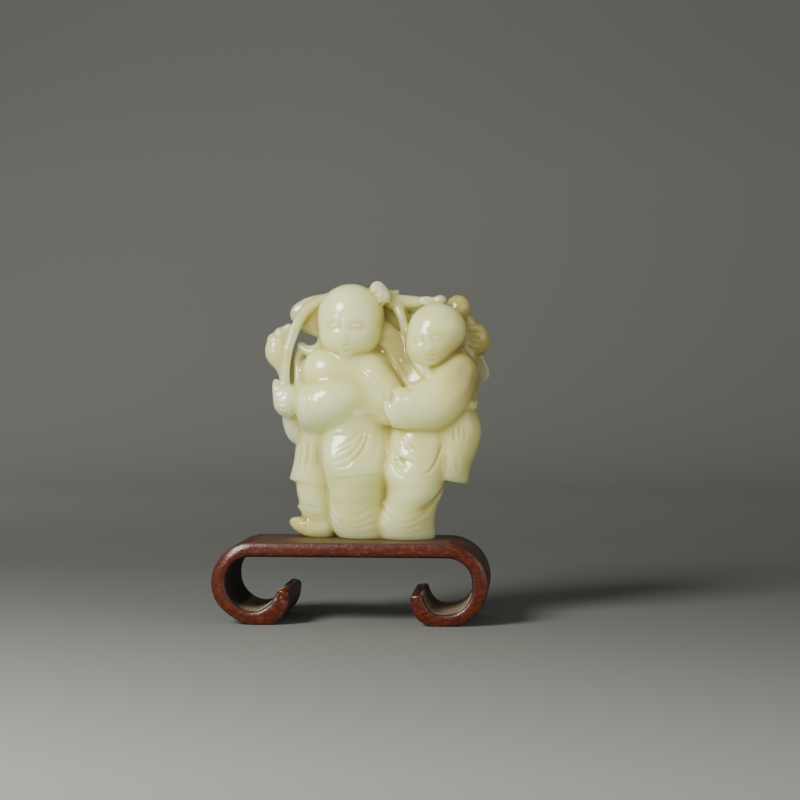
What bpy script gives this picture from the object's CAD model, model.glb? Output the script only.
import math

import bpy
import numpy as np
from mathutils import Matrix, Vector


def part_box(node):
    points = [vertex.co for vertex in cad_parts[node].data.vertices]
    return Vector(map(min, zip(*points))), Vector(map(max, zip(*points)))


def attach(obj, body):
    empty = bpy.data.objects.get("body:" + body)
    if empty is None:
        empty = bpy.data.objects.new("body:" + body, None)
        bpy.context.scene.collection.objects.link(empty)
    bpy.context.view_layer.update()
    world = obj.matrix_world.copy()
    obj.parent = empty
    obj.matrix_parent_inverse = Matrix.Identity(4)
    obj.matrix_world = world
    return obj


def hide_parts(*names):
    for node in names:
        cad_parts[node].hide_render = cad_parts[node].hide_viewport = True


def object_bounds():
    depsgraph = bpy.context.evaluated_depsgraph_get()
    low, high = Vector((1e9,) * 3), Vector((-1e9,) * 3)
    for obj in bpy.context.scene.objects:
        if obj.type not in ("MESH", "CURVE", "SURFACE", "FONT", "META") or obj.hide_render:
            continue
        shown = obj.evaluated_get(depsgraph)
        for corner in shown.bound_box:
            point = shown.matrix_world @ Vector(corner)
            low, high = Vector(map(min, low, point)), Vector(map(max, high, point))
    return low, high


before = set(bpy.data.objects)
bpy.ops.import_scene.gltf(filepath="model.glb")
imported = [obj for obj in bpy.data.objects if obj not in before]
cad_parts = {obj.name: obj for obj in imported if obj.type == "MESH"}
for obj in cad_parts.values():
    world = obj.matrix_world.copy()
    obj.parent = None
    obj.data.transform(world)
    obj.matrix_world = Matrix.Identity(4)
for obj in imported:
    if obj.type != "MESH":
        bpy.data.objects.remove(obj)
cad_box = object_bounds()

import openvdb
from mathutils import Matrix, Vector

MM = 0.001
STAND_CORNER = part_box("scroll_stand")[1]
STAND_TOP = round(STAND_CORNER.z / MM, 2)
TINY = 1e-9  # keeps a division from dividing by nothing


def placed(name, data):
    """A new object in the scene."""
    thing = bpy.data.objects.new(name, data)
    bpy.context.scene.collection.objects.link(thing)
    return thing


# Camera

CAMERA_TURN = 4.2  # degrees round towards the boys' own left
CAMERA_DOWN = 1.04  # degrees
CAMERA_DISTANCE = 459  # mm
CAMERA_AIM = (11.15, 0, 52.65)  # mm, the point in the middle of the picture
SENSOR_WIDTH = 36
LENS = 86.4


def make_camera():
    """Looks from the boys' left, a little down, from about half a metre."""
    turn, down = math.radians(CAMERA_TURN), math.radians(CAMERA_DOWN)
    forward = Vector((-math.sin(turn) * math.cos(down), math.cos(turn) * math.cos(down), -math.sin(down)))
    right = Vector((math.cos(turn), math.sin(turn), 0))
    up = right.cross(forward)
    data = bpy.data.cameras.new("camera")
    data.sensor_width = SENSOR_WIDTH
    data.lens = LENS
    data.clip_start = 10 * MM
    camera = placed("camera", data)
    facing = Matrix((right, up, -forward)).transposed().to_4x4()
    place = (Vector(CAMERA_AIM) - forward * CAMERA_DISTANCE) * MM
    camera.matrix_world = Matrix.Translation(place) @ facing
    bpy.context.scene.camera = camera


make_camera()


# Carving: a distance field on a grid, in millimetres, heights from the stand's top

GRID_LOW = [-23, -13, -1]
GRID_HIGH = [34.5, 12.5, 63.5]
CELL = 0.22  # spacing of the grid that holds the carving
FLATNESS = 0.02  # how far nearly flat faces are merged
FAR = 20  # distance held by the empty grid
SKIN = 0.6  # how far outside a shape it still counts
SOFTENING = 0.3  # how far the rough shapes are smoothed
FRONT, BACK = -1, 1  # towards the camera, and away from it
LINE_STEPS = 6  # steps between two points of a line
SHAPE_STEPS = 8  # steps between stations or sections
THINNEST = 0.05  # least radius of a limb
OVERSHOOT = 0.8  # how far a robe may stand out past its sections


def soft_min(a, b, blend):
    """The smaller of two distances, rounded where they are nearly equal."""
    if blend <= 0:
        return np.minimum(a, b)
    overlap = np.maximum(blend - np.abs(a - b), 0) / blend
    return np.minimum(a, b) - overlap * overlap * blend * 0.25


def nearest_on(x, y, z, start, end):
    """How far from start to end the nearest point lies, and its squared distance."""
    span = np.asarray(end, float) - start
    square = max(float(span @ span), TINY)
    reached = (x - start[0]) * span[0] + (y - start[1]) * span[1] + (z - start[2]) * span[2]
    along = np.clip(reached / square, 0, 1)
    gaps = [(value - start[i] - along * span[i]) ** 2 for i, value in enumerate((x, y, z))]
    return along, gaps[0] + gaps[1] + gaps[2]


class Carving:
    """Distances to the surface on a grid, negative inside the stone."""

    def __init__(self, low, high, step):
        self.low = np.array(low, float)
        self.step = float(step)
        count = np.ceil((np.array(high) - self.low) / step).astype(int) + 1
        self.values = np.full(count, FAR, np.float32)

    def cells(self, low, high, margin):
        """The cells of a box and a margin round it: their slices, and their x, y and z."""
        first = np.floor((np.array(low) - margin - self.low) / self.step).astype(int)
        last = np.ceil((np.array(high) + margin - self.low) / self.step).astype(int) + 1
        first, last = np.clip([first, last], 0, self.values.shape)
        axes = [self.low[i] + self.step * np.arange(first[i], last[i]) for i in range(3)]
        grid = np.meshgrid(*axes, indexing="ij", sparse=True)
        return tuple(slice(a, b) for a, b in zip(first, last)), [g.astype(np.float32) for g in grid]

    def add(self, shape, blend=0.0, sign=1):
        """Joins a shape on, the corner filled over the width of the blend."""
        low, high, distance = shape
        place, (x, y, z) = self.cells(low, high, blend + 2 * self.step + SKIN)
        self.values[place] = sign * soft_min(sign * self.values[place], distance(x, y, z), blend)

    def cut(self, shape, blend):
        """Takes a shape away."""
        self.add(shape, blend, -1)

    def rows(self, places, axis):
        """The grid rows nearest to places on one axis."""
        nearest = np.round((np.asarray(places) - self.low[axis]) / self.step).astype(int)
        return np.clip(nearest, 0, self.values.shape[axis] - 1)

    def depth(self, x, z, side=FRONT):
        """The y of the first surface met from one side."""
        column = self.values[self.rows(x, 0), :, self.rows(z, 2)]
        if side == BACK:
            column = column[:, ::-1]
        inside = column < 0
        first = np.where(inside.any(1), inside.argmax(1), column.argmin(1))
        before = np.clip(first - 1, 0, None)
        rows = np.arange(len(first))
        a, b = column[rows, before], column[rows, first]
        at = before + np.clip(np.where(a > 0, a / np.maximum(a - b, TINY), 0), 0, 1)
        if side == BACK:
            at = self.values.shape[1] - 1 - at
        return self.low[1] + at * self.step

    def line(self, points, side=FRONT):
        """A smooth run through points [x, z], laid on the surface."""
        run = through(points, LINE_STEPS)
        y = self.depth(run[:, 0], run[:, 1], side)
        y = np.convolve(np.pad(y, 2, mode="edge"), np.ones(5) / 5, mode="valid")
        return np.column_stack([run[:, 0], y, run[:, 1]])

    def swell(self, points, width, height, taper=0.6):
        """Raises a soft ridge along points on the surface, or sinks a groove (a negative height)."""
        points = np.asarray(points, float)
        place, (x, y, z) = self.cells(points.min(0), points.max(0), 1.6 * width)
        shape = np.broadcast_shapes(x.shape, y.shape, z.shape)
        best, share = np.full(shape, np.inf, np.float32), np.zeros(shape, np.float32)
        count = len(points) - 1
        # a line that is hardly longer than wide keeps its height to its ends
        if np.linalg.norm(np.diff(points, axis=0), axis=1).sum() < 1.5 * width:
            taper = 0.0
        for i in range(count):
            along, gap = nearest_on(x, y, z, points[i], points[i + 1])
            closer = gap < best
            share = np.where(closer, (i + along) / count, share)
            best = np.where(closer, gap, best)
        fade = np.sin(np.pi * np.clip(share, 0.02, 0.98)) ** taper
        self.values[place] -= height * fade * np.exp(-best / (0.5 * width) ** 2)


def through(points, per_span=4):
    """A smooth run through rows of numbers."""
    rows = np.asarray(points, float)
    if len(rows) < 3:
        share = np.linspace(0, 1, per_span + 1)[:, None]
        return rows[0] * (1 - share) + rows[-1] * share
    wide = np.vstack([2 * rows[0] - rows[1], rows, 2 * rows[-1] - rows[-2]])
    t = (np.arange(per_span) / per_span)[:, None]
    spans = []
    for a, b, c, d in zip(wide[:-3], wide[1:-2], wide[2:-1], wide[3:]):
        spans.append(b + 0.5 * t * (c - a + t * (2 * a - 5 * b + 4 * c - d + t * (3 * (b - c) + d - a))))
    return np.vstack(spans + [rows[-1:]])


def tilted(degrees):
    """A tilt sideways, the top towards +X."""
    angle = np.radians(degrees)
    return np.array([[np.cos(angle), 0, np.sin(angle)], [0, 1, 0], [-np.sin(angle), 0, np.cos(angle)]])


def ellipsoid(centre, radii, tilt=0):
    """An egg shape, with the distance near its surface."""
    centre, radii = np.asarray(centre, float), np.asarray(radii, float)
    axes = tilted(tilt)
    reach = np.abs(axes) @ radii

    def distance(x, y, z):
        gaps = x - centre[0], y - centre[1], z - centre[2]
        own = [axes[0, i] * gaps[0] + axes[1, i] * gaps[1] + axes[2, i] * gaps[2] for i in range(3)]
        near = np.sqrt(sum((own[i] / radii[i]) ** 2 for i in range(3)))
        slope = np.sqrt(sum((own[i] / radii[i] ** 2) ** 2 for i in range(3)))
        return near * (near - 1) / np.maximum(slope, TINY)

    return centre - reach, centre + reach, distance


def limb(stations, depth=1.0):
    """A rounded limb through stations [x, y, z, radius], its thickness in Y times depth."""
    line = through(stations, SHAPE_STEPS)
    line[:, 3] = np.maximum(line[:, 3], THINNEST)
    reach = line[:, 3:] * [1, depth, 1]
    round_line = line * [1, 1 / depth, 1, 1]

    def distance(x, y, z):
        best = None
        for start, end in zip(round_line[:-1], round_line[1:]):
            along, gap = nearest_on(x, y / depth, z, start[:3], end[:3])
            here = np.sqrt(gap) - (start[3] + along * (end[3] - start[3]))
            best = here if best is None else np.minimum(best, here)
        return best * min(1.0, depth)

    return (line[:, :3] - reach).min(0), (line[:, :3] + reach).max(0), distance


def robe(sections, blunt=0.6):
    """A garment from oval sections [z, x, y, half width, half depth]."""
    rows = np.asarray(sections, float)
    fine = through(rows, SHAPE_STEPS)
    fine = fine[np.argsort(fine[:, 0])]
    middle, half = rows[:, 1:3], rows[:, 3:5]
    low = [*((middle - half).min(0) - OVERSHOOT), rows[:, 0].min()]
    high = [*((middle + half).max(0) + OVERSHOOT), rows[:, 0].max()]

    def distance(x, y, z):
        centre_x, centre_y, half_x, half_y = (
            np.interp(z, fine[:, 0], fine[:, i]).astype(np.float32) for i in (1, 2, 3, 4)
        )
        px, py = (x - centre_x) / half_x, (y - centre_y) / half_y
        near = np.sqrt(px**2 + py**2)
        slope = np.sqrt((px / half_x) ** 2 + (py / half_y) ** 2)
        side = near * (near - 1) / np.maximum(slope, TINY)
        ends = np.maximum(low[2] - z, z - high[2])
        return -soft_min(-side, -ends, blunt)

    return low, high, distance


def group(parts):
    """Several (shape, blend) joined as one shape."""
    low = np.min([shape[0] for shape, _ in parts], 0)
    high = np.max([shape[1] for shape, _ in parts], 0)

    def distance(x, y, z):
        whole = None
        for (_, _, inner), blend in parts:
            here = inner(x, y, z)
            whole = here if whole is None else soft_min(whole, here, blend)
        return whole

    return low, high, distance


def trimmed(shape, point, outward, blunt):
    """A shape cut off by a plane through point, the edge rounded by blunt."""
    low, high, inner = shape
    away = np.array(outward, float) / np.linalg.norm(outward)

    def distance(x, y, z):
        over = (x - point[0]) * away[0] + (y - point[1]) * away[1] + (z - point[2]) * away[2]
        return -soft_min(-inner(x, y, z), -over, blunt)

    return low, high, distance


def lotus_leaf(jade):
    """The large leaf behind and above the boys, with its rolled rims."""
    jade.add(group([
        (limb([[-12.9, 2.4, 53.9, 2.8], [-10.5, 2.6, 53.8, 4.1], [-7.5, 2.8, 53.8, 4.2]], 0.42), 1),
        (ellipsoid([-9.2, 2.4, 52], [3.8, 1.7, 3.2]), 1),
        (limb([
            [-6, 3.2, 53.4, 4.4], [4, 4.4, 52.6, 6], [12, 5.4, 52.6, 5.2], [18.5, 5.8, 53.2, 4.4],
        ], 0.34), 1.5),
    ]))
    jade.add(limb([[9, 4.2, 52, 3.6], [9.4, 4.6, 49.5, 4.2], [9.6, 4.7, 47.5, 4.2]], 0.8), 1.5)
    jade.add(limb([
        [7.2, 1.6, 57.8, 1.6], [9.4, 1.6, 56.9, 1.7], [12.4, 1.8, 56.8, 1.6], [15.8, 1.6, 56.7, 1.3],
    ], 1.2), 1)
    jade.add(limb([[7.4, 1.8, 59, 0.8], [9.2, 2, 58.9, 0.7], [10.6, 2, 59.4, 0.5]]), 0.5)
    jade.add(group([
        (ellipsoid([17.2, -0.4, 57], [1.9, 1.5, 1]), 0), (ellipsoid([19, 0.2, 56.7], [3, 1.6, 1]), 0.8),
        (ellipsoid([20.8, -0.4, 57.2], [1.6, 1.4, 1.1]), 0.5),
    ]), 0.5)


def lotus_spray(jade):
    """The stem in the left boy's hand, and its bud."""
    jade.add(limb([
        [-16, -3.2, 33, 1.3], [-16.2, -3, 38.1, 1.2], [-15.9, -2.8, 42.4, 1.1], [-15.1, -2.4, 46.2, 1.05],
        [-14.2, -1.6, 49, 1.1], [-13.2, -0.5, 51.8, 1.15], [-11.6, 0.6, 54.4, 1.3], [-9, 1.5, 56.4, 1.2],
        [-5.8, 2, 58, 1.1], [-3.6, 2.2, 58.6, 0.8],
    ]), 0.4)
    jade.add(group([
        (ellipsoid([-18.1, -0.9, 44.9], [3.1, 2.9, 4], -4), 0.5),
        (ellipsoid([-17.5, -0.6, 49.3], [1.5, 1.5, 1.4]), 0.7),
        (ellipsoid([-19.4, -0.6, 47.9], [1.3, 1.4, 1.3]), 0.7),
        (ellipsoid([-15.6, -0.2, 50.5], [1.3, 1.3, 1.1]), 0.7),
        (ellipsoid([-16.2, -0.8, 47.4], [1.5, 1.2, 2.4]), 0.8),
        (limb([[-17.6, -1, 42.4, 1.6], [-16.6, -1.8, 39, 1.2]]), 1),
    ]), 0.4)


def fruit(jade):
    """The two fruits behind the right boy, with the small leaf below them."""
    jade.add(ellipsoid([24.9, 4, 55.4], [3.05, 3, 3.05]), 0.4)
    jade.add(ellipsoid([29, 6.6, 47.9], [3.5, 3.4, 4], -12), 0.4)
    jade.add(ellipsoid([27.2, 5.4, 51.9], [1.9, 1.9, 1.9]), 1)
    jade.add(ellipsoid([26.4, 4.6, 47.4], [3, 2.4, 4.2]), 1)
    jade.add(ellipsoid([26, 4.6, 44], [3.4, 2.6, 4.6]), 1)
    jade.add(limb([
        [28.8, 6.6, 45, 1.2], [29.6, 6.8, 42.4, 2.2], [30.2, 6.8, 40.2, 2.3], [30.4, 6.7, 39.2, 1.9],
    ], 0.2), 0.4)


def left_clothes(jade):
    """The left boy's robe, shoulders, skirt, side panel, trousers and shoe."""
    jade.add(robe([
        [14, -1, 2, 6.6, 5], [22, -1, 1.5, 7.6, 6.4], [29, -0.9, 1, 8.8, 7.2], [36, -1.4, 0.8, 9.4, 7.4],
        [40.5, -2.2, 1, 8.4, 6.4], [44, -2.4, 1, 5.2, 4.8], [46, -1.8, 0.6, 3.8, 4],
    ]), 0.5)
    jade.add(ellipsoid([-5.6, -0.6, 39.8], [6.8, 5.6, 6.2], 14), 2.5)
    jade.add(limb([
        [-12.6, 1.4, 46.4, 0.8], [-13.4, 0.4, 43, 0.9], [-13.2, -1, 39, 1], [-12.8, -2, 36, 1.2],
    ], 1.6), 0.5)
    jade.add(limb([[-14, 1.9, 33, 1.5], [-14.3, 1.9, 40, 1.5], [-14, 1.9, 44.6, 0.9]]), 0.8)
    jade.add(limb([[-8.6, 1.6, 45.4, 1.3], [-7.7, 1.6, 47, 1.2], [-6.8, 1.4, 49, 1.2]], 1.2), 1.2)
    jade.add(limb([[-9, 1, 45, 1.4], [-11.4, 0.8, 45.2, 1.2], [-12.7, 0.8, 46.4, 0.7]], 1.6), 0.8)
    jade.add(limb([
        [1.2, -1.2, 41.8, 4.2], [5.4, -2.2, 38.4, 5.1], [8.2, -3.2, 34.6, 4.8], [9.4, -3.4, 31, 3.8],
    ], 0.95), 3.2)
    jade.add(robe([
        [12.8, 1, -0.8, 7.4, 6.8], [16.5, 1.1, -1.5, 8, 7.1], [19, 1.2, -1.3, 8, 6.9],
        [22, 1.3, -0.8, 7.8, 6.4], [25, 1.2, -0.1, 7.4, 5.8], [31, 0.9, 0.6, 6.4, 5.2],
    ], 1.6), 0.8)
    jade.add(ellipsoid([-2.2, -3.3, 20.4], [4.8, 4.8, 6.2]), 2)
    jade.add(robe([
        [13.9, -10.5, 3, 5.5, 3.8], [17.5, -9.9, 2.8, 5, 4], [22, -9.4, 2.2, 4.8, 4.2],
        [26.5, -8.6, 1.6, 4.8, 4.6], [31, -8, 1, 4.8, 4.6],
    ], 0.4), 1.4)
    jade.add(limb([
        [-14.8, -0.6, 31, 2.4], [-14.9, -0.2, 28, 2.2], [-14.3, 0.2, 25.4, 2], [-13.9, 0.4, 23.8, 1.2],
    ], 0.8), 0.6)
    jade.add(robe([
        [0, 2.1, 2.2, 5.8, 4.4], [1.5, 1.8, 2, 6.7, 5.2], [4.5, 1.3, 1.4, 7.1, 5.8],
        [8.5, 0.9, 0.4, 6.8, 6.1], [12, 1, -0.4, 7, 6.7], [17, 1.2, 0, 6.6, 6],
    ], 0.5), 1.4)
    jade.add(robe([
        [0, -8.4, 5.4, 3.4, 2.8], [4, -8.6, 5, 4.2, 3.4], [8, -9.3, 4, 4.2, 3.8], [12, -9.8, 3.4, 4.4, 4],
        [17, -9.4, 3, 4.4, 3.8],
    ], 0.5), 1.6)
    jade.add(limb([
        [-14.8, 4.4, 3.5, 1.3], [-13.2, 4.2, 2.9, 2], [-10.6, 4, 2.5, 2.6], [-7.6, 4.2, 2.5, 2.7],
    ], 1.1), 0.5)
    jade.add(limb([[-13.9, 3.6, 7.5, 0.4], [-12.6, 3.4, 6.9, 0.8], [-10, 2.8, 6, 1.6]]), 0.5)


def right_clothes(jade):
    """The right boy's robe, skirt, side panel, belt and trousers."""
    jade.add(robe([
        [14, 19, 1.6, 5.6, 5], [24, 19.6, 1.4, 8.4, 6.9], [30, 20.2, 0.8, 8.6, 7.4],
        [36, 21.2, 0.4, 8.8, 7.6], [41, 22, 0.6, 7.8, 6.6], [45, 21.4, 0.8, 5.4, 4.8],
        [47.5, 20.6, 0.6, 3.8, 3.8],
    ]), 0.5)
    jade.add(robe([
        [12.8, 14.6, -1.6, 6.3, 7.5], [16, 14.8, -1.8, 7.2, 7.5], [20, 15.2, -1.5, 7.4, 6.9],
        [25.5, 16.4, -0.9, 7.2, 6.1], [31, 18, -0.3, 7, 5.2],
    ], 1.6), 0.8)
    jade.add(trimmed(robe([
        [12, 22.4, 1, 4.8, 5.6], [17, 22.9, 0.6, 5.2, 6.4], [22, 23.9, 0.4, 6, 6.8],
        [26.5, 24.2, 0.4, 6.4, 6.6], [31.5, 24, 0.6, 5.2, 5.8],
    ]), [22.6, 0, 14.3], [-0.25, 0, -1], 0.4), 0.8)
    jade.add(ellipsoid([12.2, -4, 16.4], [4.2, 4.8, 4.4]), 1.5)
    jade.add(limb([
        [20.5, -5.6, 30.4, 0.8], [25.5, -5, 31.4, 0.9], [28.6, -1.8, 32.2, 0.95], [29.2, 2, 32.6, 0.9],
    ]), 0.4)
    jade.add(robe([
        [0, 13, 1.2, 6.5, 5.4], [1.2, 12.8, 0.8, 6.8, 6], [4, 12.5, 0.2, 6.9, 6.8],
        [8, 13.8, -0.8, 6.4, 7.2], [11.5, 14.9, -1.5, 6.7, 7.7], [17, 15.6, -1, 7, 7],
    ], 0.2), 1.2)


def between(jade):
    """The stone between the boys, what hangs down between their heads, and a small hole."""
    jade.add(robe([
        [0, 7.2, 4.4, 3.4, 3], [10, 8, 4, 4.4, 3.6], [20, 8.6, 3.2, 5, 4.2], [30, 9.4, 2.6, 5.4, 4.6],
        [38, 10.2, 2.4, 5.6, 4.4], [45, 10.4, 3, 4.8, 3.2], [49, 9.8, 4.2, 3.6, 2],
    ], 1), 1)
    jade.add(ellipsoid([5.6, 2.4, 45.6], [2.6, 2.2, 3]), 1)
    jade.add(limb([
        [6.8, 0.2, 49.2, 3.2], [10.2, -0.3, 45.2, 3.8], [12.4, -1.2, 42.2, 3.5], [14.2, -2.4, 39.4, 3.1],
        [15.2, -3.6, 37.4, 2.3],
    ], 0.75), 2)
    jade.add(limb([
        [8.4, 1.2, 57, 1.1], [10.6, 0.4, 55.2, 1.3], [11.9, -0.9, 52, 1], [12.9, -1.3, 48.6, 1.1],
        [14.2, -2, 45.6, 1.3], [15.6, -4, 42.8, 1.4], [17.2, -5.4, 40.6, 1.3], [18.8, -6.4, 38.8, 0.9],
    ]), 0.8)
    jade.cut(limb([[13.3, -3, 54.3, 0.5], [13.3, 9, 54.3, 0.5]]), 0.2)


def arms(jade):
    """The sleeves across the front, and the hands."""
    jade.add(trimmed(limb([
        [0.8, -3, 35, 4], [-4, -4.5, 33.2, 5.4], [-8.2, -3.1, 32, 6], [-12.6, -1, 31.6, 5.4],
    ], 0.86), [-13.4, -4, 32], [-1, -0.1, -0.1], 1.8), 1)
    jade.add(group([
        (ellipsoid([-15.5, -3, 33.1], [3.5, 4.1, 4]), 0),
        (limb([
            [-18.5, -2.6, 37.9, 0.6], [-18, -3.4, 36.4, 1.2], [-16.9, -4.7, 34, 1.6],
            [-15.4, -5.2, 31.8, 1.5],
        ]), 0.8),
    ]), 0.5)
    jade.add(trimmed(limb([
        [24.7, -2.6, 39.4, 5.2], [22.8, -4, 35.8, 5.9], [19.6, -5, 32.6, 6.3], [15.6, -5.8, 31.6, 5.5],
        [11, -6, 31.6, 4.9],
    ], 0.86), [9.9, -6, 31], [-1, 0, 0.12], 0.5), 0.5)
    jade.add(limb([[12.4, -7.6, 28.6, 1.9], [10.6, -7.8, 29.8, 1.9], [9.4, -7.6, 31.6, 1.6]]), 0.5)


def heads(jade):
    """Both heads, with ears and the hair knot."""
    jade.add(group([
        (ellipsoid([-0.5, -0.4, 53.3], [8, 7.5, 7.7]), 0), (ellipsoid([-0.7, -1.6, 48.2], [7, 6.1, 5.1]), 3),
        (ellipsoid([-7, 1, 49.8], [0.9, 1.5, 2]), 0.4), (ellipsoid([6.4, 1, 49.8], [0.9, 1.5, 2]), 0.4),
    ]), 0.4)
    jade.add(group([
        (ellipsoid([5.9, -1.8, 59.7], [1.9, 1.8, 1.9]), 0),
        (ellipsoid([7.1, -1.8, 57.9], [1.9, 1.8, 2.1]), 1.4),
    ]), 0.3)
    jade.add(group([
        (ellipsoid([20.2, -2.4, 50], [6.9, 6.9, 6.3]), 0), (ellipsoid([18.1, -3.9, 45.8], [5.2, 5, 4.7]), 3),
        (ellipsoid([24.2, -3, 46.5], [1.2, 1.4, 1.8], 20), 0.5),
    ]), 0.4)


FACE_RELIEF = 1.4  # strength of a face's strokes


def face(jade, middle, eye, tilt):
    """A calm child's face, from points across and up from the middle of the eyes."""
    c, s = math.cos(math.radians(tilt)), math.sin(math.radians(tilt))

    def at(across, up):
        return [middle[0] + eye * (across * c + up * s), middle[1] + eye * (up * c - across * s)]

    def stroke(points, width, height, taper=0.6):
        jade.swell(jade.line([at(*p) for p in points]), width, FACE_RELIEF * height, taper)

    for side in (-1, 1):
        stroke([(0.5 * side, 0.05), (1.4 * side, 0.05)], 2.2, -0.22, 0.2)
        stroke([(1.1 * side, -0.85), (1.3 * side, -1)], 3.4, 0.12)
        stroke([(0.35 * side, 0.62), (side, 0.8), (1.7 * side, 0.5)], 1.1, 0.1)
    stroke([(0, 0.45), (0, -0.3), (0, -0.95)], 1.2, 0.42, 0.3)
    x, z = at(0, -0.92)
    y = float(jade.depth([x], [z])[0])
    jade.add(ellipsoid([x, y + 0.15, z], [0.26 * eye, 0.75, 0.2 * eye]), 0.7)
    for side in (-1, 1):
        x, z = at(0.24 * side, -1.02)
        jade.add(ellipsoid([x, y + 0.55, z], [0.14 * eye, 0.6, 0.13 * eye]), 0.4)
        stroke([(0.6 * side, 0.02), (side, 0.1), (1.4 * side, 0)], 1, 0.3)
        stroke([(0.5 * side, -0.1), (side, -0.04), (1.5 * side, -0.1)], 0.6, -0.24)
        stroke([(0.55 * side, 0.24), (side, 0.38), (1.5 * side, 0.2)], 0.6, -0.14)
    stroke([(-0.55, -1.54), (-0.12, -1.42), (0, -1.46), (0.12, -1.42), (0.55, -1.54)], 0.7, 0.26)
    stroke([(-0.4, -1.74), (0, -1.84), (0.4, -1.74)], 0.8, 0.3)
    stroke([(-0.62, -1.58), (0, -1.62), (0.62, -1.58)], 0.6, -0.34)
    stroke([(-0.25, -2.05), (0.25, -2.05)], 0.9, -0.16)
    stroke([(-0.3, -2.35), (0.3, -2.35)], 2, 0.3)


def faces(jade):
    """Both faces, with the ear and the hair that lie beside them."""
    face(jade, [-1.4, 50.6], 2.7, 0)
    face(jade, [18.2, 47.5], 2.3, -8)
    # the right boy's ear
    ridge(jade, [[22.6, 46.2], [23.4, 46.6], [24.4, 46.2], [25, 45.4]], 0.7, 0.3)
    # locks of the left boy's hair knot
    for k in range(4):
        fold(jade, [
            [4.4 + 0.3 * k, 58.2 + 0.7 * k], [5.9, 58.9 + 0.65 * k], [7.2, 58.6 + 0.6 * k],
        ], 0.6, 0.6)
        fold(jade, [[6.2 + 0.2 * k, 55.9 + 0.7 * k], [7.4, 56.4 + 0.7 * k], [8.6, 56 + 0.6 * k]], 0.6, 0.6)


FOLD_STEPS = 5  # steps between two points of a fold
FOLD_TAPER = 0.9  # how much a fold thins out towards its ends
CREST_SHIFT = 0.75  # from a fold's groove to its crest, as a share of its width
CREST_SHARE = 0.8  # height of the crest, as a share of the depth


def ridge(jade, points, width, height, side=FRONT):
    """A raised line through [x, z] on the surface."""
    jade.swell(jade.line(points, side), width, height)


def fold(jade, points, width, height, side=FRONT):
    """A carved fold through [x, z]: a groove, with a soft ridge on its left as it runs."""
    run = through(points, FOLD_STEPS)
    slope = np.gradient(run, axis=0)
    across = np.column_stack([-slope[:, 1], slope[:, 0]])
    across /= np.maximum(np.hypot(*slope.T), TINY)[:, None]
    crest = run + across * CREST_SHIFT * width
    jade.swell(jade.line(run, side), width, -height, FOLD_TAPER)
    jade.swell(jade.line(crest, side), width, CREST_SHARE * height, FOLD_TAPER)


FACET = np.array([-0.25, -0.89, 0.38])  # up and to the left, the way the broad polished flats face


def facet(jade, x, z, reach, shave, blend):
    """Flattens a small patch of the front at [x, z], cutting shave deep at its middle."""
    middle = np.array([x, float(jade.depth([x], [z])[0]), z]) - shave * FACET
    low, high, inner = ellipsoid(middle, [reach, reach, reach])

    def distance(x, y, z):
        over = (x - middle[0]) * FACET[0] + (y - middle[1]) * FACET[1] + (z - middle[2]) * FACET[2]
        return np.maximum(-over, inner(x, y, z))

    jade.cut((low, high, distance), blend)


def facets(jade):
    """The polished flats that catch the light."""
    for x, z, reach, shave, blend in (
        (-3.2, 20.6, 5, 0.4, 0.9),  # the left boy's skirt
        (11.6, 16, 4, 0.3, 0.9),  # the right boy's skirt and knee
        (-18, 36.6, 1.2, 0.2, 0.3),  # the left boy's hand
        (-17.2, 35.2, 1.2, 0.2, 0.3),
        (-16.6, 34, 1, 0.15, 0.3),
        (24, 56.6, 1.2, 0.1, 0.3),  # the round fruit
    ):
        facet(jade, x, z, reach, shave, blend)


def gathers(jade, places):
    """Short ridges down from a trouser leg's left edge, each from a place (x, z)."""
    for x, z in places:
        ridge(jade, [[x, z], [x + 0.5, z - 0.9], [x + 1.3, z - 1.9]], 1, 0.42)


def sagging_folds(jade, across, sag, rows):
    """Long faint folds through places across, from rows (height, rise at the end, relief)."""
    for z, rise, relief in rows:
        heights = (z, z - sag, z + 0.3 * rise, z + rise)
        fold(jade, list(zip(across, heights)), 0.9, relief)


SLEEVE_RELIEF = 1.3  # strength of the sleeve's folds


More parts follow.
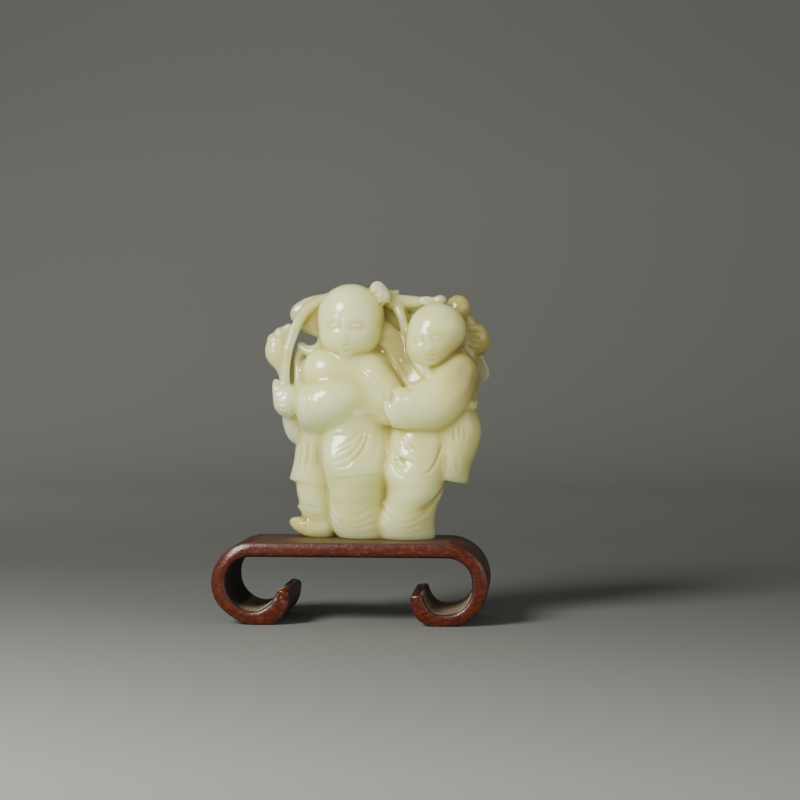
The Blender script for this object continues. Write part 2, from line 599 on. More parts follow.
def left_folds(jade):
    """The folds of the left boy's clothes, and their fingers."""
    # sleeve: the cuff's edge, then folds fanning from it
    for points, height in (
        ([[-13.2, 36], [-13.3, 33.4], [-13.2, 30.5], [-12, 27.4]], 0.34),
        ([[-12.4, 35.4], [-12.5, 31.6], [-11.5, 27.2]], 0.3),
        ([[-11.6, 35.2], [-11.6, 31.4], [-10.6, 27.6]], 0.28),
        ([[-11, 34.8], [-10.6, 32.6], [-9.6, 29.6]], 0.45),
        ([[-10, 34.6], [-9.3, 32.2], [-7.9, 29.8]], 0.45),
        ([[-9.2, 34.2], [-8, 31.8], [-5.8, 30]], 0.35),
        ([[-8.4, 33.4], [-6.8, 31.6], [-4.4, 30.6]], 0.15),
    ):
        ridge(jade, points, 0.6, SLEEVE_RELIEF * height)
    # fingers
    fold(jade, [[-18.6, 33.8], [-17, 32.6], [-14.8, 32.8]], 0.6, 0.3)
    fold(jade, [[-18.4, 32.4], [-16.4, 31.3], [-14.8, 31.4]], 0.6, 0.35)
    fold(jade, [[-17.8, 31], [-16.2, 30], [-14.8, 30.1]], 0.6, 0.35)
    # skirt
    fold(jade, [[4.2, 26.7], [3.7, 24.3], [2.8, 21.9], [1.3, 19.8], [-1.1, 18.4]], 0.7, 0.4)
    fold(jade, [[3.3, 27], [2.4, 24.2], [0.6, 21.4], [-1.2, 20.2]], 0.7, 0.3)
    fold(jade, [[1.6, 25.4], [-0.6, 23.6], [-3.6, 22.2]], 0.6, 0.3)
    fold(jade, [[1, 23.6], [-1, 21.8], [-4.2, 20.4]], 0.6, 0.3)
    fold(jade, [[0.8, 21.6], [-1, 19.9], [-4.2, 18.6]], 0.6, 0.3)
    fold(jade, [[0.8, 19], [-1, 17.8], [-3.4, 17.4]], 0.7, 0.3)
    fold(jade, [[5.5, 26.4], [5.7, 23.1], [5, 20.2], [3.6, 17.8]], 0.9, 0.14)
    fold(jade, [[7.3, 26.2], [7.7, 20.7]], 1, 0.12)
    fold(jade, [[-4.8, 15], [-0.6, 15.1], [3.6, 15.6], [7.4, 15.8]], 0.7, 0.2)
    fold(jade, [[-10.9, 23.9], [-10.9, 20.6], [-11.6, 16.6]], 0.9, 0.35)
    fold(jade, [[-12.4, 22.5], [-13.4, 16.5]], 0.8, 0.3)
    fold(jade, [[-8.4, 23.2], [-8.6, 16.5]], 1, 0.16)
    fold(jade, [[-14.6, 27.2], [-14.2, 25]], 0.8, 0.3)
    fold(jade, [[-15.4, 29.2], [-13.8, 28.2]], 0.8, 0.25)
    # trousers: short ridges from the left edge, and long faint folds across
    gathers(jade, ((-5.3, 8), (-4.6, 6.9), (-5.2, 5.6), (-4.2, 4.6), (-4.8, 3.6)))
    rows = (6.6, 2.6, 0.08), (4.6, 2.2, 0.12), (3.4, 1.2, 0.12), (1.9, 0.4, 0.12)
    sagging_folds(jade, (-2.6, 0.6, 3.8, 6.3), 0.6, rows)
    fold(jade, [[-12.6, 8.4], [-10.6, 7.6], [-8.4, 7.4]], 0.9, 0.2)
    fold(jade, [[-11.6, 6.2], [-9.6, 5.4], [-7.2, 5.4]], 0.9, 0.16)
    fold(jade, [[-12.2, 4.9], [-11.8, 3.2], [-12.2, 1.6]], 0.8, 0.2)
    # far sleeve
    ridge(jade, [[4.2, 40.4], [6.1, 39.2], [7.4, 37.4]], 0.6, 0.45)
    ridge(jade, [[3.6, 39.5], [5.4, 38.2], [6.6, 36.2]], 0.6, 0.42)
    ridge(jade, [[2.8, 38.2], [4.6, 36.8], [5.6, 34.8]], 0.6, 0.25)
    fold(jade, [[8.4, 36.7], [8.2, 33.8], [8.8, 31.4]], 0.8, 0.2)
    # the gathered cloth at the near shoulder
    for points, width, height in (
        ([[-13.5, 47.1], [-12.9, 45.8], [-13.5, 43.7], [-13.9, 41.6]], 1, 0.5),
        ([[-12.6, 46], [-11.2, 45], [-9.4, 45.2]], 0.9, 0.35),
        ([[-11.8, 44.2], [-12.2, 41.8], [-12.5, 39.6]], 0.9, 0.35),
    ):
        ridge(jade, points, width, height)
    # collar and waist
    ridge(jade, [[-3, 43.2], [-1.4, 42], [0.4, 41]], 0.9, 0.08)
    ridge(jade, [[1.3, 30.2], [2.2, 30]], 1.3, 0.8)
    fold(jade, [[1.4, 29.6], [4.2, 29.7], [7.4, 29.2]], 0.8, 0.1)


def right_folds(jade):
    """The folds of the right boy's clothes."""
    # sleeve and cuff
    fold(jade, [[10.9, 36.4], [10.5, 34.3], [10.7, 31], [11.5, 28.1]], 0.7, 0.22)
    ridge(jade, [[12, 35.4], [11.7, 34.2], [11.8, 32.8]], 0.6, 0.5)
    ridge(jade, [[12.9, 34.6], [12.9, 33.4], [13.2, 32.2]], 0.6, 0.5)
    ridge(jade, [[13.8, 34.2], [14.2, 32.8], [14.9, 31.8]], 0.6, 0.4)
    # skirt: the front panel's edge, then folds
    fold(jade, [[21.6, 23.6], [21.1, 21.8], [20.1, 19], [18.9, 16.9], [17, 16], [13.4, 15.6]], 0.8, 0.36)
    fold(jade, [[12, 24], [13.2, 22.4], [14.7, 21.4]], 0.7, 0.36)
    fold(jade, [[12.8, 24.6], [14.4, 22.8], [16.2, 21.2]], 0.7, 0.3)
    fold(jade, [[10.4, 22.2], [11.6, 20], [13.2, 18.7]], 0.7, 0.36)
    fold(jade, [[10, 20.4], [11.2, 18.2], [13, 16.8]], 0.7, 0.36)
    fold(jade, [[9.8, 18.2], [11, 16.4], [12.8, 15.2]], 0.7, 0.3)
    fold(jade, [[24.2, 27], [24.3, 23.2]], 0.7, 0.35)
    fold(jade, [[25.4, 27.4], [25.5, 23.8]], 0.7, 0.35)
    fold(jade, [[26.6, 27.4], [26.9, 23.7]], 0.7, 0.3)
    fold(jade, [[22.4, 21], [22.4, 16.8]], 1, 0.2)
    fold(jade, [[24.8, 20.4], [24.9, 15.9]], 1, 0.16)
    # trousers
    ridge(jade, [[21.8, 12.4], [20.2, 10], [18.4, 8.2], [16.2, 6.8]], 1.8, -0.9)
    gathers(jade, ((7.4, 9.4), (8.2, 8.4), (7.2, 7), (8, 5.8), (7, 4.6)))
    rows = (7.2, 3.4, 0.08), (5.2, 3, 0.12), (3.8, 2, 0.12), (2.3, 1, 0.12)
    sagging_folds(jade, (9.8, 13.2, 16.6, 19.4), 0.8, rows)
    # the far shoulder's cloth, and its edge against the left boy
    fold(jade, [
        [6.1, 46.3], [8, 44.7], [9.2, 42.5], [10.9, 39.6], [12.4, 37], [14.3, 35.9], [15.7, 36],
    ], 1.1, 0.5)
    ridge(jade, [[9.6, 43], [11, 41.2], [12.2, 40]], 0.7, 0.3)
    ridge(jade, [[11.6, 43], [12.6, 41.6], [13.4, 40.4]], 0.7, 0.25)
    ridge(jade, [[13, 46], [14, 43.6], [15.4, 41.6], [16.8, 40]], 0.9, 0.5)
    # the knot of the belt at the side
    ridge(jade, [[28.4, 32.4], [29.2, 31.6]], 1.4, 0.5)


LEAF_MIDDLE = [4, 51.4]  # where the lotus leaf's veins meet, at the back
LEAF_VEINS = [(-15, 2.4), (-11, 5.4), (-5, 6.4), (2, 6.2), (8, 4.6), (13, 2), (9, -2.2), (-8, -3)]


def back_folds(jade):
    """The side away from the camera: belts, plain folds and the lotus leaf's veins."""
    for middle, belt in ((-1.6, 30.6), (20.8, 30.4)):
        ridge(jade, [[middle - 6.8, belt + 0.6], [middle, belt], [middle + 6.4, belt + 0.6]], 1.3, 0.5, BACK)
        for k in range(-2, 3):
            x = middle + 2.7 * k
            below = [[x, belt - 1.6], [x + 0.2 * k, belt - 7], [x + 0.5 * k, belt - 14]]
            above = [[x + 0.4 * k, belt + 9 - abs(k)], [x, belt + 5], [x - 0.2 * k, belt + 1.8]]
            fold(jade, below, 1, 0.35, BACK)
            fold(jade, above, 0.9, 0.25, BACK)
    for middle in (0.8, 13.6):
        for z in (10, 7.4, 5, 2.8):
            fold(jade, [[middle - 4.4, z + 1.4], [middle, z], [middle + 4, z + 1]], 0.9, 0.12, BACK)
    x, z = LEAF_MIDDLE
    for run, rise in LEAF_VEINS:
        vein = [[x + 0.15 * run, z + 0.15 * rise], [x + 0.6 * run, z + 0.7 * rise], [x + run, z + rise]]
        fold(jade, vein, 0.9, 0.3, BACK)


def plant_lines(jade):
    """The bud's petals, the stem, the round fruits' segments and the small leaf's rim."""
    for k in range(4):
        ridge(jade, [[-20.4, 44 + k], [-19.2, 44.8 + k], [-17.4, 44.8 + k]], 0.8, 0.32)
    stem = [[-15.6, 45.6], [-15.2, 48.6], [-14.2, 51.6], [-12.6, 54.2], [-10.4, 56.2], [-7.4, 57.8]]
    ridge(jade, stem, 0.8, 0.35)
    for k in range(4):
        fold(jade, [[27, 50.4 - 1.3 * k], [28.6, 49.9 - 1.5 * k], [30.4, 50.2 - 1.7 * k]], 0.9, 0.45)
    ridge(jade, [
        [29.8, 44.2], [30.9, 42.2], [31.8, 40.4], [31.9, 39], [31.4, 38.1], [30.4, 37.8], [29.4, 38.4],
    ], 0.6, 0.4)


def smoothed(values, reach):
    """Field values averaged with their neighbours, along each axis in turn."""
    half = math.ceil(3 * reach)
    weights = np.exp(-0.5 * (np.arange(-half, half + 1) / reach) ** 2)
    weights = (weights / weights.sum()).astype(np.float32)
    for axis in range(3):
        pads = [(half, half) if i == axis else (0, 0) for i in range(3)]
        wide = np.pad(values, pads, mode="edge")
        count = values.shape[axis]
        part = [slice(None)] * 3
        values = np.zeros_like(values)
        for k, weight in enumerate(weights):
            part[axis] = slice(k, k + count)
            values += weight * wide[tuple(part)]
    return values


def carve():
    """Rough shapes, smoothed together, and then the lines carved into them."""
    jade = Carving(GRID_LOW, GRID_HIGH, CELL)
    for part in (lotus_leaf, lotus_spray, fruit, left_clothes, right_clothes, between, arms, heads):
        part(jade)
    jade.values = smoothed(jade.values, SOFTENING / CELL)
    for part in (facets, faces, left_folds, right_folds, back_folds, plant_lines):
        part(jade)
    return jade


def sampled(jade, values, points):
    """Grid values read at points."""
    at = (points - jade.low) / jade.step
    first = np.clip(np.floor(at).astype(int), 0, np.array(values.shape) - 2)
    share = np.clip(at - first, 0, 1)
    total = np.zeros(len(points))
    for corner in np.ndindex(2, 2, 2):
        weight = np.prod(np.where(corner, share, 1 - share), axis=1)
        total += weight * values[tuple((first + corner).T)]
    return total


# Honey-coloured areas of the stone, in mm: middle, reach, how strong.
HONEY = [
    ([10.5, -1, 43.5], [4, 6, 7.5], 1.5),
    ([9.2, -0.5, 51.5], [4.5, 5, 5], 0.95),
    ([9.5, 1, 56.5], [6, 3.5, 3], 0.75),
    ([25.5, 4.5, 55.5], [5.5, 5.5, 5.5], 2),
    ([29, 6.5, 47.5], [6, 5, 6.5], 1.6),
    ([30, 7, 40], [3, 4, 4], 0.75),
    ([-9.5, 0.5, 52], [6, 2.6, 6], 0.85),
    ([-14.4, 2, 40], [1.6, 3, 9], 0.8),
    ([5.9, -1.8, 59.5], [2.5, 3, 3], 0.4),
    ([-13, 3.5, 3], [5.5, 6, 3.5], 0.85),
    ([-18, -1, 45.5], [4, 6, 6], 0.55),
    ([24.5, -1, 42], [5, 8, 6], 1),
    ([19.5, -4, 52], [7, 8, 6], 0.32),
    ([27, 0, 39], [5.5, 12, 7], 1.2),
    ([28.5, 1, 24], [5, 9, 11], 0.35),
    ([20, 0, 10], [16, 12, 60], 0.15),
]
PALE_MIDDLE, PALE_REACH, PALE_STRENGTH = [-7.5, -6, 28.5], [8, 6, 3.5], 0.5  # a paler area
HOLLOW_HONEY = 0.34  # most that a broad hollow adds
HOLLOW_REACH = 1.3  # mm, about how broad such a hollow is
HOLLOW_START, HOLLOW_SPAN = 0.35, 1.2  # mm
EDGE_HONEY = 0.15  # added where the stone turns away from the front
RIGHT_HONEY, RIGHT_START, RIGHT_SPAN = 0.28, 19, 10  # added at the right, and over which mm
LINE_REACH, LINE_START = 0.45, 0.02  # mm, for a carved line
LINE_HONEY = 2.2  # added for each mm of a carved line's depth


def area(points, middle, reach):
    """1 at the middle of a soft oval area, falling towards 0 past its reach."""
    return np.exp(-0.7 * (((points - middle) / reach) ** 2).sum(1))


def honey_share(jade, points, facing):
    """How honey coloured the stone is at points: more in hollows, at the edges and on the right."""
    relief = sampled(jade, smoothed(np.clip(jade.values, -3, 3), HOLLOW_REACH / jade.step), points)
    share = np.clip((HOLLOW_START - relief) / HOLLOW_SPAN, 0, HOLLOW_HONEY)
    share += EDGE_HONEY * (1 - facing) ** 2
    share += RIGHT_HONEY * np.clip((points[:, 0] - RIGHT_START) / RIGHT_SPAN, 0, 1)
    for middle, reach, strength in HONEY:
        share = np.maximum(share, strength * area(points, middle, reach))
    share -= PALE_STRENGTH * area(points, PALE_MIDDLE, PALE_REACH)
    fine = sampled(jade, smoothed(np.clip(jade.values, -2, 2), LINE_REACH / jade.step), points)
    return np.clip(share - LINE_HONEY * np.minimum(fine - LINE_START, 0), 0, 1)


def outward(jade, values, points):
    """The surface's outward directions at points."""
    slope = []
    for step in np.eye(3) * 0.7 * jade.step:
        slope.append(sampled(jade, values, points + step) - sampled(jade, values, points - step))
    slope = np.column_stack(slope)
    return slope / np.maximum(np.linalg.norm(slope, axis=1), TINY)[:, None]


def meshed(jade):
    """The carving's surface as a mesh, cut flat where it stands."""
    heights = jade.low[2] + jade.step * np.arange(jade.values.shape[2])
    band = 3 * jade.step
    values = np.clip(np.maximum(jade.values, -heights.astype(np.float32)), -band, band)
    grid = openvdb.FloatGrid(band)
    grid.copyFromArray(values.astype(np.float32))
    points, triangles, quads = grid.convertToPolygons(0.0, FLATNESS)
    points = points * jade.step + jade.low
    normals = outward(jade, values, points)
    honey = honey_share(jade, points, np.abs(normals[:, 1]))
    points[:, 2] = np.maximum(points[:, 2], 0) + STAND_TOP
    mesh = bpy.data.meshes.new("carving")
    mesh.from_pydata((points * MM).tolist(), [], triangles.tolist() + quads.tolist())
    add_values(mesh, "honey", honey)
    mesh.shade_smooth()
    mesh.normals_split_custom_set_from_vertices(normals.tolist())
    return mesh


def add_values(mesh, name, values):
    """Gives each point of a mesh a value that its material reads by name."""
    layer = mesh.attributes.new(name, "FLOAT", "POINT")
    layer.data.foreach_set("value", values.ravel().astype(np.float32))


def jade_piece():
    mesh = meshed(carve())
    piece = placed("jade_carving", mesh)
    mesh.materials.append(jade_material())
    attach(piece, "root")
    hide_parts("jade_boys")


# The stand: a board swept along its curl

HALF_DEPTH = round(STAND_CORNER.y / MM, 2)
HALF_WIDTH = 32.6
SCROLL_RADIUS = STAND_TOP / 2
SCROLL_X = HALF_WIDTH - SCROLL_RADIUS  # a scroll's centre, from the stand's middle
# Round each scroll: [degrees from +X, distance of the board's middle from the scroll's centre, thickness].
LEFT_SCROLL = [
    [90, 8.1, 3.2], [120, 8.2, 3.1], [150, 8.1, 3.1], [180, 7.98, 3.35], [203, 7.9, 3.2], [228, 7.75, 2.8],
    [250, 7.9, 2.8], [270, 8.2, 3.1], [285, 8.35, 3.5], [298, 8.55, 4.2], [310, 8.55, 4.2],
    [322, 8.3, 3.9], [333, 8, 3.4], [341, 7.85, 2.9],
]
RIGHT_SCROLL = [
    [90, 8.1, 3.2], [60, 8, 3.1], [30, 8, 3.2], [0, 7.9, 3.5], [-30, 8.05, 3.4], [-60, 8.3, 3],
    [-90, 8.4, 2.7], [-108, 8.8, 3], [-124, 8.85, 3.4], [-140, 8.4, 3.3], [-157, 7.7, 2.9],
]
TOP_STEPS = 13  # steps along the flat top
INNER_SHARE = 1.14  # how much thicker than written the board's inner side is
LEFT_TIP, RIGHT_TIP = 1.2, 0.7  # mm, how far the rounded ends of the board reach
TIP_TURNS = [25, 50, 75]  # degrees round an end's rounding
EDGE_STEPS = 16  # faces across the rounded front
CREST = 0.3  # where the front stands out most, as a share of the way inward
LEAN = 0.95  # mm, how far the front leans back where it leans most
LEAST_LEAN = 0.35  # the lean far from there, as a share of it
LEAN_MIDDLE = 142  # degrees round the left scroll
LEAN_REACH = 32
OUTER_ROUND = 0.5
INNER_ROUND = 0.9
# Chips out of the left tip's front edge: x, height, reach and depth.
CHIPS = [[-16.2, 6.9, 0.8, 0.7], [-15.0, 5.8, 0.7, 0.5], [-17.2, 7.8, 0.6, 0.6]]
# Degrees round each scroll over which its inside turns to floor and to wall, and its worn stretch. The
# right scroll's are counted downward from +X.
LEFT_FLOOR, LEFT_WALL, LEFT_WORN = (235, 255), (95, 110), (275, 325)
RIGHT_FLOOR, RIGHT_WALL, RIGHT_WORN = (15, 35), (-45, -15), (15, 70)
# Shares of the way from the board's middle to its inner or outer edge.
INSIDE, INNER_RIM_START, OUTER_RIM_START, LAST_ROW = 0.9, 0.75, 0.8, 0.95
# In mm from the front and back: where the hollow starts, and where the two rims end.
HOLLOW_FRONT, INNER_RIM_END, OUTER_RIM_END = 0.7, 0.75, 1.6
TOP_DUST, INNER_RIM_DARK, OUTER_RIM_DARK = 0.2, 0.85, 0.4


def scroll_line(table, centre_x):
    """Points [x, z, thickness, degrees] round one scroll."""
    degrees, distance, thickness = through(table, SHAPE_STEPS).T
    angle = np.radians(degrees)
    x = centre_x + distance * np.cos(angle)
    z = SCROLL_RADIUS + distance * np.sin(angle)
    return np.column_stack([x, z, thickness, degrees])


def board_line():
    """Points along the board from the left tip to the right one, and its direction at each."""
    left, right = scroll_line(LEFT_SCROLL, -SCROLL_X)[::-1], scroll_line(RIGHT_SCROLL, SCROLL_X)
    share = np.linspace(0, 1, TOP_STEPS + 1)[1:-1, None]
    top = left[-1] * (1 - share) + right[0] * share
    line = np.vstack([left, top, right])
    before, after = line[np.r_[0, 0:len(line) - 1]], line[np.r_[1:len(line), len(line) - 1]]
    along = after[:, :2] - before[:, :2]
    along /= np.hypot(*along.T)[:, None]
    return line, along


def edge_depth(out, lean):
    """How far the front stands back at out, from the inner edge (-1) to the outer edge (1)."""
    sloped = max((out + CREST) / (1 + CREST), 0.0)
    inner = max((-out - CREST) / (1 - CREST), 0.0)
    outer = max(out, 0.0)
    rounded = OUTER_ROUND * (1 - math.sqrt(1 - outer**2))
    return lean * sloped**1.2 + rounded + INNER_ROUND * (1 - math.sqrt(1 - inner**2))


def board_ring(half, half_depth, edge, lean):
    """Rows [outward, y] round one section, from its outer front edge, the front and back rounded."""
    shares = [math.cos(math.pi * k / EDGE_STEPS) for k in range(EDGE_STEPS + 1)]
    front = [[half * out, edge * edge_depth(out, lean) - half_depth] for out in shares]
    return front + [[out, -y] for out, y in reversed(front)]


def section(row, along, turn, tip):
    """Points [x, y, z, share of the way out, degrees] round the board at one place on its line."""
    x, z, thickness, degrees = row
    slide, inset = tip * math.sin(math.radians(turn)), abs(tip) * (1 - math.cos(math.radians(turn)))
    half = thickness / 2 - inset
    from_middle = (degrees - LEAN_MIDDLE) / LEAN_REACH
    lean = LEAN * (LEAST_LEAN + (1 - LEAST_LEAN) * math.exp(-(from_middle**2)))
    points = []
    for out, y in board_ring(half, HALF_DEPTH - inset, math.cos(math.radians(turn)), lean):
        reach = out if out > 0 else INNER_SHARE * out
        px = x + slide * along[0] - reach * along[1]
        pz = z + slide * along[1] + reach * along[0]
        points.append([px, y, min(max(pz, 0.0), STAND_TOP), out / half, degrees])
    return points


def board_sections():
    """Every section from the left tip to the right one."""
    line, along = board_line()
    left_end = [section(line[0], along[0], turn, -LEFT_TIP) for turn in reversed(TIP_TURNS)]
    middle = [section(row, direction, 0, 0) for row, direction in zip(line, along)]
    right_end = [section(line[-1], along[-1], turn, RIGHT_TIP) for turn in TIP_TURNS]
    return np.array(left_end + middle + right_end)


def chipped(points):
    """The points of the board with small chips out of the left tip's front edge."""
    points = points.copy()
    for x, z, reach, depth in CHIPS:
        near = np.exp(-(((points[..., 0] - x) ** 2 + (points[..., 2] - z) ** 2) / reach**2))
        points[..., 1] += depth * near * (points[..., 1] < -HALF_DEPTH + 2)
    return points


def passed(values, start, end):
    """0 up to start, 1 from end on."""
    return np.clip((values - start) / (end - start), 0, 1)


def board_finish(sections, points):
    """How dusty, dark and worn the board is at each point."""
    out, degrees = sections[..., 3], sections[..., 4]
    left, from_middle = points[..., 0] < 0, np.abs(points[..., 1])
    inside = (out < -INSIDE) & (np.abs(sections[..., 1]) < HALF_DEPTH - HOLLOW_FRONT)
    floor = np.where(left, passed(degrees, *LEFT_FLOOR), passed(-degrees, *RIGHT_FLOOR))
    wall = np.where(left, passed(degrees, *LEFT_WALL), passed(-degrees, *RIGHT_WALL)) * (1 - floor)
    inner_rim = (out < -INNER_RIM_START) & (from_middle > HALF_DEPTH - INNER_RIM_END)
    outer_rim = (out > OUTER_RIM_START) & (from_middle > HALF_DEPTH - OUTER_RIM_END)
    left_worn = (degrees > LEFT_WORN[0]) & (degrees < LEFT_WORN[1])
    right_worn = (-degrees > RIGHT_WORN[0]) & (-degrees < RIGHT_WORN[1])
    worn = np.where(left, left_worn, right_worn) & inner_rim & (out < -LAST_ROW)
    on_top = (out > LAST_ROW) & (np.abs(degrees - 90) < 1)
    dust = np.maximum(inside * floor, TOP_DUST * on_top)
    rims = np.maximum(INNER_RIM_DARK * inner_rim, OUTER_RIM_DARK * outer_rim)
    dark = np.maximum(inside * wall, rims) * ~worn
    return {"dust": dust, "dark": dark, "worn": worn}


def tube_faces(rings, sides):
    """Faces from each ring of points to the next, and one that closes each end."""
    quads = []
    for ring in range(rings - 1):
        here, there = ring * sides, (ring + 1) * sides
        for j in range(sides):
            beside = (j + 1) % sides
            quads.append([here + j, there + j, there + beside, here + beside])
    first = list(range(sides))
    last = [(rings - 1) * sides + j for j in reversed(range(sides))]
    return quads + [first, last]


def stand_piece():
    sections = board_sections()
    points = chipped(sections[..., :3])
    finish = board_finish(sections, points)
    low, high = np.array(cad_box[0]) / MM, np.array(cad_box[1]) / MM
    mesh = bpy.data.meshes.new("stand")
    corners = np.clip(points.reshape(-1, 3), low, high) * MM
    mesh.from_pydata(corners.tolist(), [], tube_faces(*points.shape[:2]))
    for name, values in finish.items():
        add_values(mesh, name, values)
    mesh.shade_smooth()
    piece = placed("stand_board", mesh)
    mesh.materials.append(wood_material())
    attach(piece, "root")
    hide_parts("scroll_stand")


# Materials: colours are red, green, blue and a last 1

PALE_STONE = [(0.3, (0.73, 0.765, 0.385, 1)), (0.7, (0.79, 0.83, 0.46, 1))]
HONEY_STONE = [
    (0, (1, 1, 1, 1)),
    (0.3, (1, 0.94, 0.74, 1)),
    (0.65, (0.83, 0.72, 0.5, 1)),
    (1, (0.56, 0.46, 0.26, 1)),
]
GRAIN = [(0.36, (0.036, 0.005, 0.002, 1)), (0.52, (0.082, 0.012, 0.003, 1)), (0.7, (0.21, 0.038, 0.008, 1))]
DUST = [(0.34, (0.1, 0.07, 0.035, 1)), (0.5, (0.21, 0.15, 0.08, 1)), (0.7, (0.28, 0.21, 0.12, 1))]
PORE_COLOUR = (0.02, 0.004, 0.002, 1)
DARK_COLOUR = (0.008, 0.002, 0.001, 1)
WORN_COLOUR = (0.55, 0.48, 0.4, 1)
POLISHED, UNPOLISHED = 0.3, 0.85  # roughness of the wood


def new_material(name):
    material = bpy.data.materials.new(name)
    material.use_nodes = True
    return material, material.node_tree, material.node_tree.nodes["Principled BSDF"]


def give(tree, node, inputs):
    """Links each input that comes from another node, and sets the others."""
    for name, value in inputs.items():
        if isinstance(value, bpy.types.NodeSocket):
            tree.links.new(value, node.inputs[name])
        else:
            node.inputs[name].default_value = value


def add_node(tree, kind, inputs, output, **settings):
    node = tree.nodes.new("ShaderNode" + kind)
    for name, value in settings.items():
        setattr(node, name, value)
    give(tree, node, inputs)
    return node.outputs[output]


def noise(tree, where, scale, detail, roughness=0.5):
    inputs = {"Vector": where, "Scale": scale, "Detail": detail, "Roughness": roughness}
    return add_node(tree, "TexNoise", inputs, "Fac")


def ramp(tree, value, stops):
    node = tree.nodes.new("ShaderNodeValToRGB")
    while len(node.color_ramp.elements) < len(stops):
        node.color_ramp.elements.new(0.5)
    for element, (at, colour) in zip(node.color_ramp.elements, stops):
        element.position = at
        element.color = colour
    give(tree, node, {"Fac": value})
    return node.outputs["Color"]


def object_place(tree):
    return add_node(tree, "TexCoord", {}, "Object")


def attribute(tree, name):
    return add_node(tree, "Attribute", {}, "Fac", attribute_name=name)


def mapped(tree, value, low, high, to_low=0, to_high=1):
    inputs = {"Value": value, "From Min": low, "From Max": high, "To Min": to_low, "To Max": to_high}
    return add_node(tree, "MapRange", inputs, "Result")


def mixed(tree, share, a, b, blend="MIX"):
    return add_node(tree, "Mix", {0: share, 6: a, 7: b}, 2, data_type="RGBA", blend_type=blend)


def jade_material():
    """Pale milky jade, honey coloured where the carving's points say so."""
    material, tree, shader = new_material("jade")
    pale = ramp(tree, noise(tree, object_place(tree), 70, 4), PALE_STONE)
    honey = ramp(tree, attribute(tree, "honey"), HONEY_STONE)
    give(tree, shader, {
        "Base Color": mixed(tree, 1, pale, honey, "MULTIPLY"),
        "Roughness": 0.13,
        "IOR": 1.6,
        "Subsurface Weight": 1,
        "Subsurface Radius": (1, 0.97, 0.85),
        "Subsurface Scale": 0.011,
    })
    return material


def wood_material():
    """Polished red-brown hardwood, dusty and unpolished inside the scrolls."""
    material, tree, shader = new_material("hardwood")
    where = object_place(tree)
    drawn_out = add_node(tree, "Mapping", {"Vector": where, "Scale": (0.5, 1, 1)}, "Vector")
    pores = noise(tree, where, 1900, 2)
    dust, dark = attribute(tree, "dust"), attribute(tree, "dark")
    wood = ramp(tree, noise(tree, drawn_out, 1300, 8, 0.75), GRAIN)
    wood = mixed(tree, mapped(tree, pores, 0.6, 0.72, 0, 0.7), wood, PORE_COLOUR)
    wood = mixed(tree, dark, wood, DARK_COLOUR)
    wood = mixed(tree, attribute(tree, "worn"), wood, WORN_COLOUR)
    unpolished = add_node(tree, "Math", {0: dust, 1: dark}, "Value", operation="MAXIMUM")
    relief = {"Strength": 0.7, "Distance": 0.1 * MM, "Height": pores}
    give(tree, shader, {
        "Base Color": mixed(tree, dust, wood, ramp(tree, pores, DUST)),
        "Roughness": mapped(tree, unpolished, 0, 1, POLISHED, UNPOLISHED),
        "IOR": 1.57,
        "Normal": add_node(tree, "Bump", relief, "Normal"),
    })
    return material


# Floor and light, in metres

FLOOR_HALF_WIDTH = 1.6
FLOOR_FRONT = -1.2
BEND_START, BEND_RADIUS, BEND_STEPS = 0.5, 0.4, 12  # where the floor turns up into the backdrop
BACKDROP_TOP = 1.6
FLOOR_COLOUR = (0.375, 0.371, 0.336)
FLOOR_REACH = (-0.2, 0.9)  # from front to back, where the tones below begin and end
# Share of the way back, and how much of the colour is left there.
FLOOR_TONES = [
    (0.02, 0.91), (0.083, 0.73), (0.134, 0.612), (0.172, 0.55), (0.216, 0.505), (0.293, 0.475),
    (0.382, 0.575), (0.515, 0.79), (0.64, 0.96), (0.8, 0.95), (0.945, 0.9), (0.99, 0.81),
]
RIGHT_FADE = (-0.1, 0.2)  # from left to right, where the floor turns darker
RIGHT_TONES = [(0, (1, 1, 1, 1)), (1, (0.9, 0.9, 0.9, 1))]
GROUP_MIDDLE = (0, 0, 0.05)


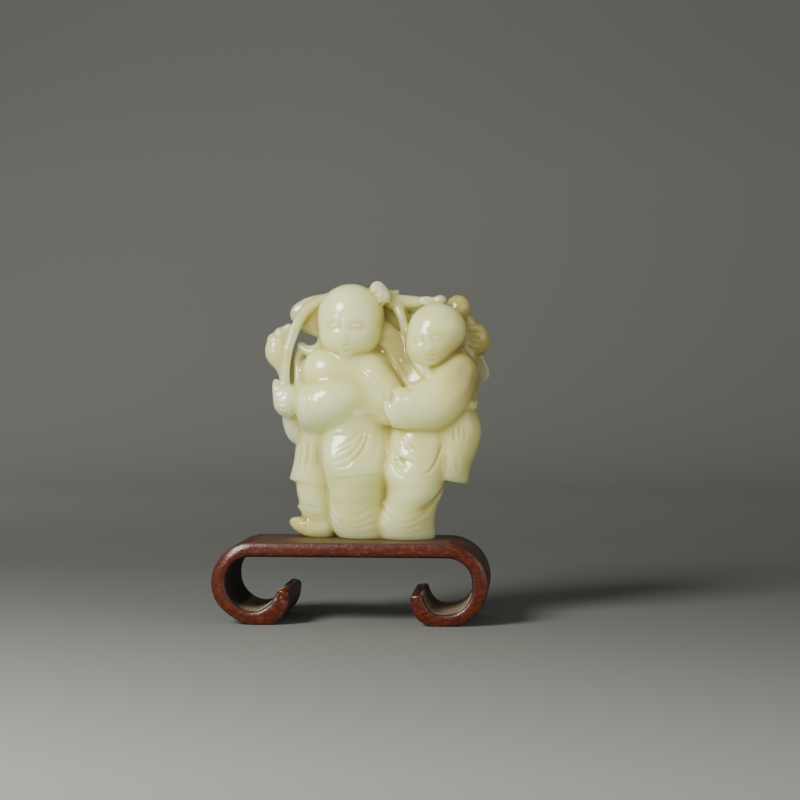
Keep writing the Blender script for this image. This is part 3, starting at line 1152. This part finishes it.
def floor_mesh():
    profile = [(FLOOR_FRONT, 0.0), (BEND_START, 0.0)]
    for k in range(1, BEND_STEPS + 1):
        angle = math.radians(90 * k / BEND_STEPS)
        profile.append((BEND_START + BEND_RADIUS * math.sin(angle), BEND_RADIUS * (1 - math.cos(angle))))
    profile.append((BEND_START + BEND_RADIUS, BACKDROP_TOP))
    points, quads = [], []
    for y, z in profile:
        points += [(-FLOOR_HALF_WIDTH, y, z), (FLOOR_HALF_WIDTH, y, z)]
    for i in range(len(profile) - 1):
        quads.append((2 * i, 2 * i + 1, 2 * i + 3, 2 * i + 2))
    mesh = bpy.data.meshes.new("floor")
    mesh.from_pydata(points, [], quads)
    mesh.shade_smooth()
    return mesh


def floor_material():
    material, tree, shader = new_material("floor")
    x, y = (add_node(tree, "SeparateXYZ", {0: object_place(tree)}, axis) for axis in "XY")
    tones = [(at, (*(share * channel for channel in FLOOR_COLOUR), 1)) for at, share in FLOOR_TONES]
    along = ramp(tree, mapped(tree, y, *FLOOR_REACH), tones)
    across = ramp(tree, mapped(tree, x, *RIGHT_FADE), RIGHT_TONES)
    colour = mixed(tree, 1, along, across, "MULTIPLY")
    give(tree, shader, {"Base Color": colour, "Roughness": 1, "Specular IOR Level": 0})
    return material


def make_floor():
    """A pale floor that sweeps up into a backdrop."""
    mesh = floor_mesh()
    mesh.materials.append(floor_material())
    floor = placed("floor", mesh)


def make_light(name, place, aim, size, power, colour=(1, 1, 1), shape="ELLIPSE"):
    data = bpy.data.lights.new(name, "AREA")
    data.shape = shape
    data.size, data.size_y = size
    data.energy = power
    data.color = colour
    light = placed(name, data)
    light.location = place
    light.rotation_euler = (Vector(aim) - Vector(place)).to_track_quat("-Z", "Y").to_euler()
    return light


def make_lights():
    """A small key light from the left, a soft fill that nothing mirrors, and soft light from the right."""
    make_light("key", (-0.24, -0.29, 0.285), GROUP_MIDDLE, (0.19, 0.19), 2.75, colour=(0.97, 1.0, 0.99))
    fill = make_light("fill", (-0.1, -0.7, 0.07), GROUP_MIDDLE, (0.6, 0.3), 2.5, shape="RECTANGLE")
    fill.visible_glossy = False
    make_light("side", (0.9, -0.5, 0.25), GROUP_MIDDLE, (1.1, 1.1), 3.9)
    make_light("backdrop", (-0.45, 0.3, 0.2), (0.05, 0.85, 0.12), (0.3, 0.3), 0.42, shape="RECTANGLE")
    world = bpy.data.worlds.new("world")
    world.use_nodes = True
    background = world.node_tree.nodes["Background"]
    background.inputs["Color"].default_value = (0.5, 0.5, 0.5, 1)
    background.inputs["Strength"].default_value = 0.2
    bpy.context.scene.world = world


jade_piece()
stand_piece()
make_floor()
make_lights()
